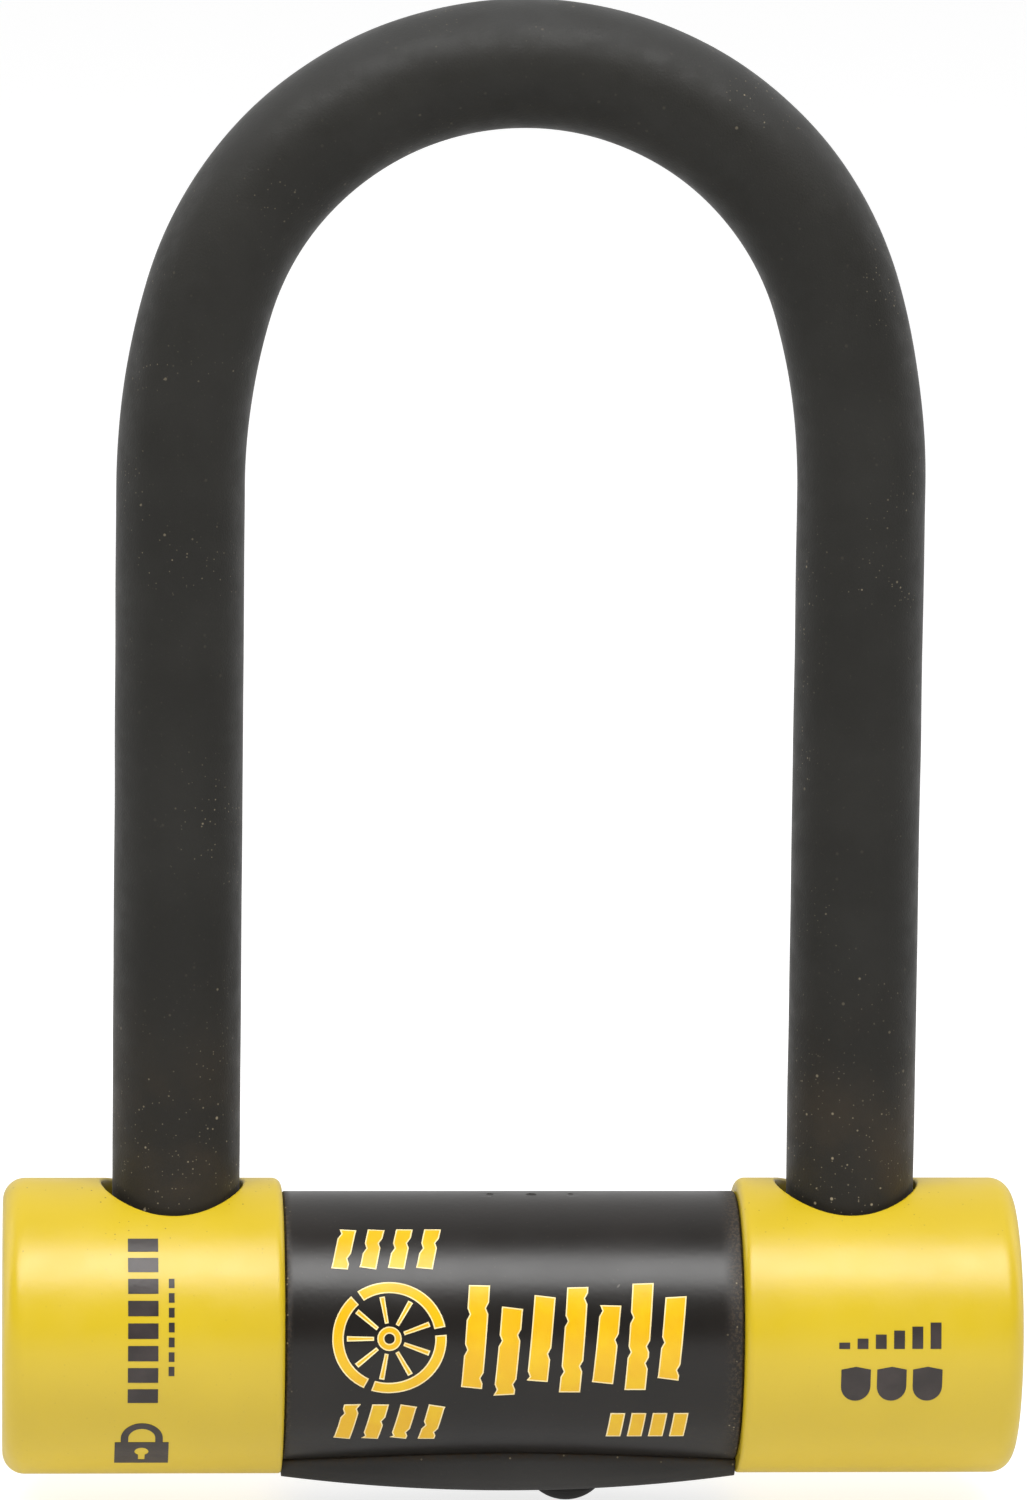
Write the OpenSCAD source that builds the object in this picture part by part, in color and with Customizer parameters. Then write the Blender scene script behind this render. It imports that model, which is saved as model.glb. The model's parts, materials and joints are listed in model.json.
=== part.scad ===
// Bicycle U-lock: a vinyl-sleeved steel shackle, a round crossbar with two
// moulded end caps, and a disc lock that drives a bolt into each foot.
// +Z runs up along the shackle, +X along the crossbar. The origin is at the
// middle of the lowest point. Heights inside the modules are measured from
// the crossbar's axis, and on_axis() lifts them to their place.
// The lock is drawn closed, with the key turned to open: both bolts are back.

/* [Shackle] */
// Diameter of the hardened steel bar
steel_d = 16; // [15:0.5:16]
// Outside diameter of the vinyl sleeve
sleeve_d = 20; // [18:0.5:21]
// Distance between the centre lines of the two legs
leg_spacing = 106; // [104:1:108]
// Height of the bow's centre line above the crossbar's axis
bow_height = 199.4; // [150:0.1:280]
// Centre line radius of the bow's round top
bow_r = 50.8; // [49:0.1:51.5]
// Sine of the angle over which the bow flares out into each leg
flare_sin = 0.28; // [0.28, 0.352]
// Height of the sleeve's lower ends above the crossbar's axis
sleeve_end_z = 20.4; // [20.3:0.1:23]
// Height above which the sleeve has its full diameter
sleeve_full_z = 23.6; // [23.5:0.1:30]
// Sideways play that the shackle has taken up, towards +X
shackle_shift = 0.6; // [0:0.1:0.6]
// Depth of each foot below the crossbar's axis
foot_depth = 12; // [11.5:0.1:12.5]
// Depth of the notch that a bolt enters
notch_depth = 6; // [6:0.1:7]

/* [Crossbar] */
// Length over the end caps
crossbar_length = 159; // [157:0.5:164]
// Outside diameter of the end caps
cap_d = 46.4; // [45:0.1:50]
// Distance from the middle to each cap's inner edge
cap_inner_x = 35.8; // [33:0.1:36]
// Thickness of a cap's end wall
cap_end_wall = 3.2; // [2:0.1:4]
// Radius of the cap's outer corner
cap_outer_round = 3.5; // [1:0.1:4]
// Radius of the cap's inner edge
cap_inner_round = 1.5; // [0.5:0.1:1.8]
// Diameter of the hole in each cap that the shackle enters
cap_hole_d = 22.2; // [21.5:0.1:24]
// Outside diameter of the black barrel sleeve
barrel_d = 42.2; // [41.2:0.1:44]
// Outside diameter of the steel tube
tube_d = 40; // [39.5:0.1:40.5]
// Wall of the steel tube
tube_wall = 4; // [3.5:0.1:4]

/* [Keyway housing] */
// Half width of the housing at its middle
housing_half_w = 11.2; // [11:0.1:13]
// Radius of the housing's two curved sides, seen from below
housing_side_r = 139; // [120:1:160]
// Depth of the housing below the crossbar's axis, at its middle
housing_depth = 24.5; // [24.4:0.1:25.2]
// Radius of the housing's curved underside
housing_belly_r = 520; // [400:10:600]
// Diameter of the key opening
key_opening_d = 10; // [8:0.5:10]
// Distance from the key opening to the dust cover's thumb nub
nub_x = 9.4; // [9:0.1:9.6]
// Depth of the nub's lowest point below the crossbar's axis
nub_depth = 28; // [27:0.1:29]
// Radius of the nub's dome
nub_dome_r = 7; // [6:0.1:9]
// Diameter of the nub
nub_d = 10.4; // [9:0.1:11]
// Travel of the dust cover
cover_travel = 12; // [11.5:0.1:12]

/* [Lock mechanism] */
// Diameter of the lock cylinder's body
cylinder_d = 19; // [19:0.1:19.4]
// Diameter of the turning core
core_d = 14.4; // [14:0.1:14.4]
// Number of coded discs in the core
disc_count = 7; // [5:1:7]
// Thickness of a coded disc
disc_t = 1.5; // [1.2:0.1:1.5]
// Thickness of a spacer washer
washer_t = 0.5; // [0.3:0.1:0.5]
// Diameter of the bolts
bolt_d = 11; // [9:0.5:11]
// Height of the bolts' axis above the crossbar's axis
bolt_z = 5; // [5:0.1:5.2]
// Travel of each bolt over a quarter turn of the key
bolt_travel = 6; // [5:0.1:6]
// Diameter of the drive cam
cam_d = 31; // [30.5:0.1:31]
// Diameter of the pins that follow the cam's slots
follower_d = 3; // [2.5:0.1:3]

/* [Hidden] */
$fn = 96;
// Steps round a circle of more than 100 mm radius
large_fn = 720;
// Smallest cut beyond a face, so that a cutter always passes through it
past = 1;
// Gap between parts that lie on each other
seat_gap = 0.05;
// Radial gap of turning and sliding parts
running_gap = 0.1;

// Shackle
leg_x = leg_spacing / 2;
foot_face_x = leg_x - steel_d / 2;
bow_centre_z = bow_height - bow_r;
flare_angle = asin(flare_sin);
flare_cos = sqrt(1 - flare_sin * flare_sin);
flare_r = bow_r + (leg_x - bow_r) / (1 - flare_cos);
flare_centre_x = leg_x - flare_r;
flare_centre_z = bow_centre_z - (flare_r - bow_r) * flare_sin;
foot_chamfer = 1.6;
notch_h = bolt_d + 1;
socket_hole_r = steel_d / 2 + 1;
sleeve_taper = 0.15;

// Crossbar
cap_r = cap_d / 2;
cap_hole_r = cap_hole_d / 2;
cap_length = crossbar_length / 2 - cap_inner_x;
tube_r = tube_d / 2;
tube_bore_r = tube_r - tube_wall;
tube_half = crossbar_length / 2 - cap_end_wall;
plug_t = 6;
insert_r = tube_bore_r - seat_gap;
socket_x0 = leg_x - 13;
socket_x1 = leg_x + 15;
socket_floor_z = -foot_depth - 1;
socket_pin_x = leg_x + 12;
socket_pin_r = 2;
socket_pin_half = tube_r - 0.2;
guide_x0 = 25;
guide_x1 = socket_x0 - 2;
barrel_half = cap_inner_x - 0.1;
barrel_hole_r = cylinder_d / 2 + 0.5;

// Keyway housing
housing_blank_h = 10;
housing_floor_z = -housing_depth + 1.4;
cylinder_recess_z = -22;
pocket_x0 = -7.5;
pocket_x1 = 25;
pocket_half_w = 6.1;
peg_x = 28;
peg_r = 1.5;
peg_root_z = -22;
peg_top_z = -17;
neck_r = 1.4;
cover_x0 = -6.5;
cover_x1 = 12;
cover_t = 0.8;
cover_half_w = pocket_half_w - 0.3;
nub_top_z = -housing_depth - 0.15;

// Lock cylinder
cylinder_r = cylinder_d / 2;
cylinder_front_z = -21.9;
cylinder_back_z = -1.2;
front_wall_t = 1.5;
key_entry_r = 4.5;
key_slot_r = 3.6;
key_slot_w = 3.4;
core_r = core_d / 2;
core_back_z = -3.2;
core_bore_r = core_r + 0.08;
plate_t = 1.3;
core_front_z = cylinder_front_z + front_wall_t + running_gap + plate_t;
chamber_r = core_r - 1.2;
disc_r = chamber_r - running_gap;
disc_slot_w = 3.8;
disc_pitch = disc_t + washer_t;
washer_in_r = 4.2;
back_plate_t = 0.5;
chamber_back_z = core_front_z + disc_count * disc_pitch;
sidebar_r = 0.8;
sidebar_y = core_r - sidebar_r;
sidebar_groove_d = 0.8;
sidebar_groove_w = 1.8;
gate_w = 1.9;
gate_floor_y = sidebar_y - sidebar_r - running_gap;
ring_t = 1;
ring_z0 = core_back_z + running_gap;
ring_out_r = core_r + 0.8;
ring_in_r = core_r - 1.6;
eye_r = 1.3;
eye_x = ring_in_r + 0.2;
eye_angle = 22;
ring_gap_w = 2.4;
seal_z0 = -17.3;
seal_t = 1;
seal_in_r = cylinder_r - 0.9;
cross_pin_r = 1.25;
cross_pin_x = cylinder_r - 0.1;
cross_pin_z = -12;
cross_pin_half = 14.8;
tail_w = 6;
tail_root_z = core_back_z - 0.5;

// Drive cam and bolts
cam_z0 = -1;
cam_z1 = 2.1;
follower_r = follower_d / 2;
follower_x = 6.5;
follower_z0 = cam_z0 + 0.2;
tail_z0 = 2.4;
tail_z1 = 6.4;
tail_half_w = 6;
tail_x0 = 4;
tail_x1 = 17.5;
bolt_root_x = 17;
bolt_tip_x = foot_face_x - 1;
bolt_chamfer = 1.2;
screw_r = 1.25;
screw_z0 = -1.5;
screw_hole_z0 = -1.6;
screw_head_r = 3;
screw_head_t = 2;
hex_r = 1.45;
hex_z0 = cam_z1 + 0.8;
slot_steps = 24;
end_steps = 12;

// Colours
vinyl_black = [0.21, 0.20, 0.19];
barrel_black = [0.15, 0.14, 0.13];
cap_yellow = [0.92, 0.78, 0.22];
bare_steel = [0.62, 0.63, 0.64];
dark_steel = [0.38, 0.38, 0.39];
brass = [0.80, 0.65, 0.35];
rubber_black = [0.09, 0.09, 0.09];

// ---- Placing and basic shapes ----

// Lifts children from the crossbar's axis to their height in the model
module on_axis() {
    translate([0, 0, nub_depth]) children();
}

// Round bar along X, from x0 to x1
module rod_x(x0, x1, r, z = 0) {
    translate([x0, 0, z]) rotate([0, 90, 0]) cylinder(r = r, h = x1 - x0);
}

// Round bar along Y, centred on the plane y = 0
module rod_y(x, z, r, half) {
    translate([x, half, z]) rotate([90, 0, 0])
        cylinder(r = r, h = 2 * half);
}

// Round bar along Z, from z0 to z1
module rod_z(x, y, z0, z1, r) {
    translate([x, y, z0]) cylinder(r = r, h = z1 - z0);
}

// Box between two corners
module box(low, high) {
    translate(low) cube(high - low);
}

// ---- Shackle ----

// Bar bent round a circle in the XZ plane, between two angles from +X
module bent_rod(d, r, from_angle, to_angle, x, z) {
    translate([x, 0, z]) rotate([90, 0, 0]) rotate([0, 0, from_angle])
        rotate_extrude(angle = to_angle - from_angle)
            translate([r, 0]) circle(d = d);
}

// The whole bow with its legs, down to height z0
module bow_and_legs(d, z0) {
    bent_rod(d, bow_r, flare_angle, 180 - flare_angle, 0, bow_centre_z);
    for (side = [0, 1]) mirror([side, 0, 0]) {
        bent_rod(d, flare_r, 0, flare_angle, flare_centre_x, flare_centre_z);
        rod_z(leg_x, 0, z0, flare_centre_z, d / 2);
    }
}

// Moves children sideways by the play that the shackle has taken up
module shifted() {
    translate([shackle_shift, 0, 0]) children();
}

module shackle_bar() {
    color(dark_steel) on_axis() shifted() difference() {
        union() {
            bow_and_legs(steel_d, -foot_depth + foot_chamfer);
            for (side = [-1, 1])
                translate([side * leg_x, 0, -foot_depth])
                    cylinder(r1 = steel_d / 2 - foot_chamfer,
                             r2 = steel_d / 2, h = foot_chamfer);
        }
        for (side = [0, 1]) mirror([side, 0, 0])
            box([foot_face_x - past, -steel_d, bolt_z - notch_h / 2],
                [foot_face_x + notch_depth, steel_d, bolt_z + notch_h / 2]);
    }
}

module shackle_sleeve() {
    color(vinyl_black) on_axis() shifted() difference() {
        union() {
            bow_and_legs(sleeve_d, sleeve_full_z);
            for (side = [-1, 1])
                translate([side * leg_x, 0, sleeve_end_z])
                    cylinder(r1 = sleeve_d / 2 - sleeve_taper, r2 = sleeve_d / 2,
                             h = sleeve_full_z - sleeve_end_z);
        }
        bow_and_legs(steel_d + 2 * seat_gap, sleeve_end_z - past);
    }
}

// ---- Crossbar ----

module crossbar_tube() {
    color(dark_steel) on_axis() difference() {
        rod_x(-tube_half, tube_half, tube_r);
        rod_x(-tube_half - past, tube_half + past, tube_bore_r);
        for (side = [-1, 1]) {
            rod_z(side * leg_x, 0, 0, tube_r + past, cap_hole_r);
            rod_y(side * socket_pin_x, 0, socket_pin_r, tube_r + past);
            rod_z(side * peg_x, 0, -tube_r - past, 0, peg_r + seat_gap);
        }
        rod_z(0, 0, -tube_r - past, 0, cylinder_r + seat_gap);
        rod_y(cross_pin_x, cross_pin_z, cross_pin_r, tube_r + past);
    }
}

module barrel_sleeve() {
    color(barrel_black) on_axis() difference() {
        rod_x(-barrel_half, barrel_half, barrel_d / 2);
        rod_x(-cap_inner_x, cap_inner_x, tube_r + seat_gap);
        rod_z(0, 0, -cap_r, 0, barrel_hole_r);
        for (side = [-1, 1])
            rod_z(side * peg_x, 0, -cap_r, 0, peg_r + seat_gap);
    }
}

// Half section of a cap: radius along X, distance from its inner edge along Y
module cap_section() {
    body_end = cap_length - cap_outer_round;
    translate([0, cap_inner_round])
        square([cap_r, body_end - cap_inner_round]);
    square([cap_r - cap_inner_round, body_end]);
    translate([0, body_end])
        square([cap_r - cap_outer_round, cap_outer_round]);
    translate([cap_r - cap_inner_round, cap_inner_round])
        circle(r = cap_inner_round);
    translate([cap_r - cap_outer_round, body_end])
        circle(r = cap_outer_round);
}

module end_cap() {
    color(cap_yellow) on_axis() difference() {
        translate([cap_inner_x, 0, 0]) rotate([0, 90, 0])
            rotate_extrude() intersection() {
                cap_section();
                square([cap_d, crossbar_length]);
            }
        rod_x(cap_inner_x - past, tube_half, tube_r + seat_gap);
        rod_z(leg_x, 0, 0, cap_r + past, cap_hole_r);
    }
}

module left_end_cap() {
    mirror([1, 0, 0]) end_cap();
}

module right_end_cap() {
    end_cap();
}

module end_plug() {
    color(bare_steel) on_axis()
        rod_x(tube_half - plug_t, tube_half, insert_r);
}

module left_end_plug() {
    mirror([1, 0, 0]) end_plug();
}

module right_end_plug() {
    end_plug();
}

// Steel block in the tube that takes a foot, with the bolt's way in
module foot_socket() {
    color(bare_steel) on_axis() difference() {
        rod_x(socket_x0, socket_x1, insert_r);
        rod_z(leg_x, 0, socket_floor_z, tube_r, socket_hole_r);
        rod_x(socket_x0 - past, leg_x, bolt_d / 2 + running_gap, bolt_z);
        rod_y(socket_pin_x, 0, socket_pin_r, tube_r);
    }
}

module left_foot_socket() {
    mirror([1, 0, 0]) foot_socket();
}

module right_foot_socket() {
    foot_socket();
}

module socket_pins() {
    color(bare_steel) on_axis()
        for (side = [-1, 1])
            rod_y(side * socket_pin_x, 0, socket_pin_r, socket_pin_half);
}

module bolt_guide() {
    color(bare_steel) on_axis() difference() {
        rod_x(guide_x0, guide_x1, insert_r);
        rod_x(guide_x0 - past, guide_x1 + past, bolt_d / 2 + running_gap,
              bolt_z);
    }
}

module left_bolt_guide() {
    mirror([1, 0, 0]) bolt_guide();
}

module right_bolt_guide() {
    bolt_guide();
}

// ---- Lock cylinder ----

module cylinder_body() {
    color(brass) on_axis() difference() {
        rod_z(0, 0, cylinder_front_z, cylinder_back_z, cylinder_r);
        rod_z(0, 0, cylinder_front_z - past, 0, key_entry_r);
        rod_z(0, 0, cylinder_front_z + front_wall_t, 0, core_bore_r);
        // Groove that the sidebar rises into when the key is turned to lock
        box([-core_bore_r - sidebar_groove_d, -sidebar_groove_w / 2, core_front_z],
            [0, sidebar_groove_w / 2, core_back_z]);
        // Groove for the retaining ring
        rod_z(0, 0, ring_z0 - seat_gap, ring_z0 + ring_t + seat_gap,
              ring_out_r + seat_gap);
        // Groove for the rubber seal
        difference() {
            rod_z(0, 0, seal_z0, seal_z0 + seal_t, cylinder_r + past);
            rod_z(0, 0, seal_z0 - past, seal_z0 + seal_t + past, seal_in_r);
        }
        rod_y(cross_pin_x, cross_pin_z, cross_pin_r, cylinder_d);
    }
}

module cylinder_cross_pin() {
    color(bare_steel) on_axis()
        rod_y(cross_pin_x, cross_pin_z, cross_pin_r, cross_pin_half);
}

module cylinder_seal() {
    color(rubber_black) on_axis() difference() {
        rod_z(0, 0, seal_z0, seal_z0 + seal_t, cylinder_r + seat_gap);
        rod_z(0, 0, seal_z0 - past, seal_z0 + seal_t + past, seal_in_r);
    }
}

// Internal circlip: an open ring with an eye at each end
module retaining_ring() {
    color(bare_steel) on_axis()
        translate([0, 0, ring_z0]) linear_extrude(height = ring_t)
            difference() {
                union() {
                    difference() {
                        circle(r = ring_out_r);
                        circle(r = ring_in_r);
                    }
                    for (side = [-1, 1]) rotate(side * eye_angle)
                        translate([eye_x, 0]) circle(r = eye_r);
                }
                translate([0, -ring_gap_w / 2])
                    square([ring_out_r + past, ring_gap_w]);
                for (side = [-1, 1]) rotate(side * eye_angle)
                    translate([eye_x, 0]) circle(r = eye_r / 2);
            }
}

// ---- Keyway housing and dust cover ----

// Lens outline of the housing, seen from below
module housing_outline() {
    intersection_for (side = [-1, 1])
        translate([0, side * (housing_side_r - housing_half_w)])
            circle(r = housing_side_r, $fn = large_fn);
}

module lock_housing() {
    color(barrel_black) on_axis() difference() {
        intersection() {
            translate([0, 0, -housing_depth - past])
                linear_extrude(height = housing_blank_h) housing_outline();
            box([-barrel_half, -cap_r, -cap_d], [barrel_half, cap_r, 0]);
            rod_y(0, housing_belly_r - housing_depth, housing_belly_r, cap_r,
                  $fn = large_fn);
        }
        rod_x(-cap_inner_x, cap_inner_x, barrel_d / 2);
        rod_z(0, 0, cylinder_recess_z, 0, cylinder_r + running_gap);
        box([pocket_x0, -pocket_half_w, housing_floor_z],
            [pocket_x1, pocket_half_w, 0]);
        rod_z(0, 0, -housing_depth - past, 0, key_opening_d / 2);
        // Slot for the dust cover's neck
        for (x = [nub_x, nub_x + cover_travel])
            rod_z(x, 0, -housing_depth - past, 0, neck_r + running_gap);
        box([nub_x, -neck_r - running_gap, -housing_depth - past],
            [nub_x + cover_travel, neck_r + running_gap, 0]);
    }
    color(barrel_black) on_axis()
        for (side = [-1, 1])
            rod_z(side * peg_x, 0, peg_root_z, peg_top_z, peg_r);
}

module dust_cover() {
    plate_z0 = housing_floor_z + running_gap;
    color(rubber_black) on_axis() {
        box([cover_x0, -cover_half_w, plate_z0],
            [cover_x1, cover_half_w, plate_z0 + cover_t]);
        rod_z(nub_x, 0, nub_top_z - seat_gap, plate_z0 + cover_t / 2, neck_r);
        intersection() {
            translate([nub_x, 0, nub_dome_r - nub_depth]) sphere(r = nub_dome_r);
            rod_z(nub_x, 0, -nub_depth - past, nub_top_z, nub_d / 2);
        }
    }
}

// ---- Turning core ----

// Key's way through the core: a flat-sided round slot
module key_slot(z0, z1, w) {
    intersection() {
        rod_z(0, 0, z0, z1, key_slot_r);
        box([-key_slot_r, -w / 2, z0], [key_slot_r, w / 2, z1]);
    }
}

module lock_core() {
    color(brass) on_axis() difference() {
        union() {
            rod_z(0, 0, core_front_z, core_back_z, core_r);
            box([-tail_w / 2, -tail_w / 2, tail_root_z],
                [tail_w / 2, tail_w / 2, cam_z1 - running_gap]);
        }
        rod_z(0, 0, core_front_z - past, chamber_back_z, chamber_r);
        // Slot for the sidebar
        box([-sidebar_r - seat_gap, 0, core_front_z - past],
            [sidebar_r + seat_gap, core_r + past, chamber_back_z]);
        rod_z(0, 0, screw_hole_z0, cam_z1, screw_r);
    }
}

module drill_plate() {
    color(dark_steel) on_axis() difference() {
        rod_z(0, 0, core_front_z - plate_t, core_front_z, core_r - seat_gap);
        key_slot(core_front_z - plate_t - past, core_front_z + past, key_slot_w);
    }
}

// Gate in the rim of a disc or washer, where the sidebar drops in
module gate(z0, z1) {
    box([-gate_w / 2, gate_floor_y, z0 - past], [gate_w / 2, core_r, z1 + past]);
}

module detainer_discs() {
    color(brass) on_axis()
        for (i = [0 : disc_count - 1]) {
            z0 = core_front_z + i * disc_pitch;
            difference() {
                rod_z(0, 0, z0, z0 + disc_t, disc_r);
                key_slot(z0 - past, z0 + disc_t + past, disc_slot_w);
                gate(z0, z0 + disc_t);
            }
        }
}

module spacer_washers() {
    color(bare_steel) on_axis()
        for (i = [0 : disc_count - 2]) {
            z0 = core_front_z + i * disc_pitch + disc_t;
            difference() {
                rod_z(0, 0, z0, z0 + washer_t, disc_r);
                rod_z(0, 0, z0 - past, z0 + washer_t + past, washer_in_r);
                gate(z0, z0 + washer_t);
            }
        }
}

module core_back_plate() {
    color(bare_steel) on_axis() difference() {
        rod_z(0, 0, chamber_back_z - back_plate_t, chamber_back_z, disc_r);
        gate(chamber_back_z - back_plate_t, chamber_back_z);
    }
}

module sidebar() {
    color(bare_steel) on_axis()
        rod_z(0, sidebar_y, core_front_z + running_gap,
              chamber_back_z - running_gap, sidebar_r);
}

// ---- Drive cam and bolts ----

// Distance of the slot's centre line from the cam's centre, at a cam angle
function slot_r(angle) = follower_x + bolt_travel * angle / 90;

// Point on the slot's centre line
function slot_point(angle) = slot_r(angle) * [cos(angle), -sin(angle)];

// Unit vector across the slot, to the left of its run outwards
function slot_left(angle) =
    let (rise = bolt_travel / 90 * 180 / PI,
         along = rise * [cos(angle), -sin(angle)]
               - slot_r(angle) * [sin(angle), cos(angle)])
    [-along.y, along.x] / norm(along);

// Vector turned clockwise
function clockwise(v, angle) =
    [v.x * cos(angle) + v.y * sin(angle), v.y * cos(angle) - v.x * sin(angle)];

// Points round one end of the slot, clockwise from a side
function slot_end(centre, side) =
    [for (i = [1 : end_steps - 1]) centre + clockwise(side, i * 180 / end_steps)];

// Spiral slot that carries a follower outwards as the cam turns
module cam_slot() {
    half_w = follower_r + running_gap;
    angles = [for (i = [0 : slot_steps]) i * 90 / slot_steps];
    left = [for (a = angles) slot_point(a) + half_w * slot_left(a)];
    right = [for (a = angles) slot_point(90 - a) - half_w * slot_left(90 - a)];
    polygon(concat(
        left, slot_end(slot_point(90), half_w * slot_left(90)),
        right, slot_end(slot_point(0), -half_w * slot_left(0))));
}

module drive_cam() {
    color(bare_steel) on_axis()
        translate([0, 0, cam_z0]) linear_extrude(height = cam_z1 - cam_z0)
            difference() {
                circle(d = cam_d);
                square(tail_w + 2 * seat_gap, center = true);
                for (turn = [0, 180]) rotate(turn) cam_slot();
            }
}

module cam_screw() {
    color(dark_steel) on_axis() difference() {
        union() {
            rod_z(0, 0, cam_z1, cam_z1 + screw_head_t, screw_head_r);
            rod_z(0, 0, screw_z0, cam_z1 + past, screw_r);
        }
        translate([0, 0, hex_z0]) cylinder(r = hex_r, h = screw_head_t, $fn = 6);
    }
}

// Round bolt with a flat tail that carries the follower pin
module bolt() {
    color(bare_steel) on_axis() difference() {
        union() {
            rod_x(bolt_root_x, bolt_tip_x - bolt_chamfer, bolt_d / 2, bolt_z);
            translate([bolt_tip_x - bolt_chamfer, 0, bolt_z]) rotate([0, 90, 0])
                cylinder(r1 = bolt_d / 2, r2 = bolt_d / 2 - bolt_chamfer,
                         h = bolt_chamfer);
            box([tail_x0, -tail_half_w, tail_z0],
                [tail_x1, tail_half_w, tail_z1]);
        }
        rod_z(follower_x, 0, tail_z0 - past, tail_z1 + past, follower_r);
    }
}

module left_bolt() {
    mirror([1, 0, 0]) bolt();
}

module right_bolt() {
    bolt();
}

module follower_pin() {
    color(dark_steel) on_axis()
        rod_z(follower_x, 0, follower_z0, tail_z1, follower_r);
}

module left_follower_pin() {
    mirror([1, 0, 0]) follower_pin();
}

module right_follower_pin() {
    follower_pin();
}

crossbar_tube();
barrel_sleeve();
left_end_cap();
right_end_cap();
left_end_plug();
right_end_plug();
left_foot_socket();
right_foot_socket();
socket_pins();
left_bolt_guide();
right_bolt_guide();
cylinder_body();
cylinder_cross_pin();
cylinder_seal();
retaining_ring();
lock_housing();
dust_cover();
lock_core();
drill_plate();
detainer_discs();
spacer_washers();
core_back_plate();
sidebar();
drive_cam();
cam_screw();
left_bolt();
right_bolt();
left_follower_pin();
right_follower_pin();
shackle_bar();
shackle_sleeve();
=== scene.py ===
"""A bicycle U-lock: sleeved shackle, two-tone crossbar, keyway housing and disc lock."""
import bpy
import bmesh
import json
import math
import random
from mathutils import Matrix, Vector, noise


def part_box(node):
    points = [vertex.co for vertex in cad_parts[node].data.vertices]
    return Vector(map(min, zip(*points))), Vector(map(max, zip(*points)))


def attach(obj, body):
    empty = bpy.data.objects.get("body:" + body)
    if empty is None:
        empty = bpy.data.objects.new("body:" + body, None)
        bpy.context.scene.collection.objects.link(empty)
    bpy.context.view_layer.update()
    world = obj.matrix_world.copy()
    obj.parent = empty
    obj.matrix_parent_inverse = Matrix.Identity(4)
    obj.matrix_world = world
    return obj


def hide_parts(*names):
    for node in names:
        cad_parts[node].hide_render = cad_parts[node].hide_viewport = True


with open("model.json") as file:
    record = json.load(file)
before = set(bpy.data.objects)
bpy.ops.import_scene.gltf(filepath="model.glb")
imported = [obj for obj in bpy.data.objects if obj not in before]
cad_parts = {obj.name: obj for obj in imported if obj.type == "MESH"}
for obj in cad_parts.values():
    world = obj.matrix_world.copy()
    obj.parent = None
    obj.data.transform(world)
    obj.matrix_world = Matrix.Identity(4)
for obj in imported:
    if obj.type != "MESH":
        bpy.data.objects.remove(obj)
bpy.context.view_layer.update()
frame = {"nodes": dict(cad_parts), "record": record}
MM = 0.001


# ---- The frame's sizes ----

def size_of(node):
    """The two corners of a node's box, as vectors."""
    low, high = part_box(node)
    return Vector(low), Vector(high)


cap_low, cap_high = size_of("right_end_cap")
barrel_low, barrel_high = size_of("barrel_sleeve")
bar_low, bar_high = size_of("shackle_bar")
sleeve_low, sleeve_high = size_of("shackle_sleeve")
housing_low, housing_high = size_of("lock_housing")
tube_low, tube_high = size_of("crossbar_tube")

AXIS_Z = (cap_low.z + cap_high.z) / 2
CAP_R = (cap_high.z - cap_low.z) / 2
CAP_IN = cap_low.x
CAP_OUT = cap_high.x
BARREL_R = (barrel_high.z - barrel_low.z) / 2
BARREL_HALF = barrel_high.x
TUBE_R = (tube_high.z - tube_low.z) / 2
TUBE_HALF = tube_high.x
SLEEVE_R = (sleeve_high.y - sleeve_low.y) / 2
BAR_R = (bar_high.y - bar_low.y) / 2
LEG_X = (bar_high.x - bar_low.x) / 2 - BAR_R
SHIFT = (bar_high.x + bar_low.x) / 2
BOW_TOP = sleeve_high.z - SLEEVE_R
# The sleeve shown reaches a little deeper into the caps' holes than its solid
SLEEVE_END = sleeve_low.z - 2.6 * MM
HOUSING_HALF = housing_high.x
HOUSING_W = housing_high.y
HOUSING_LOW = housing_low.z


# ---- Sizes that no box of the frame gives ----

# Two places this near each other are taken for one
CLOSE = 1e-7
# Radius of the bow's top, and sine of the angle where it meets the wider arcs down to the legs
BOW_R = 50.8 * MM
FLARE_SIN = 0.28
# Unevenness of the vinyl, and its waves per metre
SWELL = 0.06 * MM
SWELL_WAVES = 70
# Gap between a shell and what it covers
FIT = 0.05 * MM
# Holes for the legs in the caps, and the rounding of their rims
HOLE_R = 11.1 * MM
HOLE_RIM = 0.5 * MM
# Chips on top of the barrel, in mm: place along X, length and depth
CHIPS = ((-3.1, 1.3, 0.2), (3.4, 1.9, 0.25), (9.6, 1.0, 0.16))
# Radii of the housing's lens shape seen from below, of its bowed underside and of its lower edges
HOUSING_SIDE_R = 139 * MM
HOUSING_BELLY_R = 520 * MM
HOUSING_EDGE_R = 2.4 * MM
# Rounding of the housing's upper edges, along the seam with the barrel
SEAM_R = 0.35 * MM
# Pocket in the housing for the dust cover: middle, size and floor above the underside
POCKET_X = 8.75 * MM
POCKET_SIZE = Vector((32.5, 12.2, 9)) * MM
POCKET_FLOOR = 1.4 * MM
# Room in the housing for the lock cylinder, down from the crossbar's axis
CYLINDER_ROOM_R = 9.6 * MM
CYLINDER_ROOM_DEPTH = 22 * MM
# Openings in the underside, with their chamfer: the keyway's mouth and the dust cover's slot
MOUTH_R = 5 * MM
SLOT_HALF = 1.5 * MM
OPENING_CHAMFER = 0.4 * MM
# Dust cover: nub's place, travel, nub's and neck's radius, dome's radius, and gap under the housing
NUB_X = 9.4 * MM
COVER_TRAVEL = 12 * MM
NUB_R = 5.2 * MM
NECK_R = 1.4 * MM
DOME_R = 7 * MM
NUB_GAP = 0.15 * MM
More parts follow.
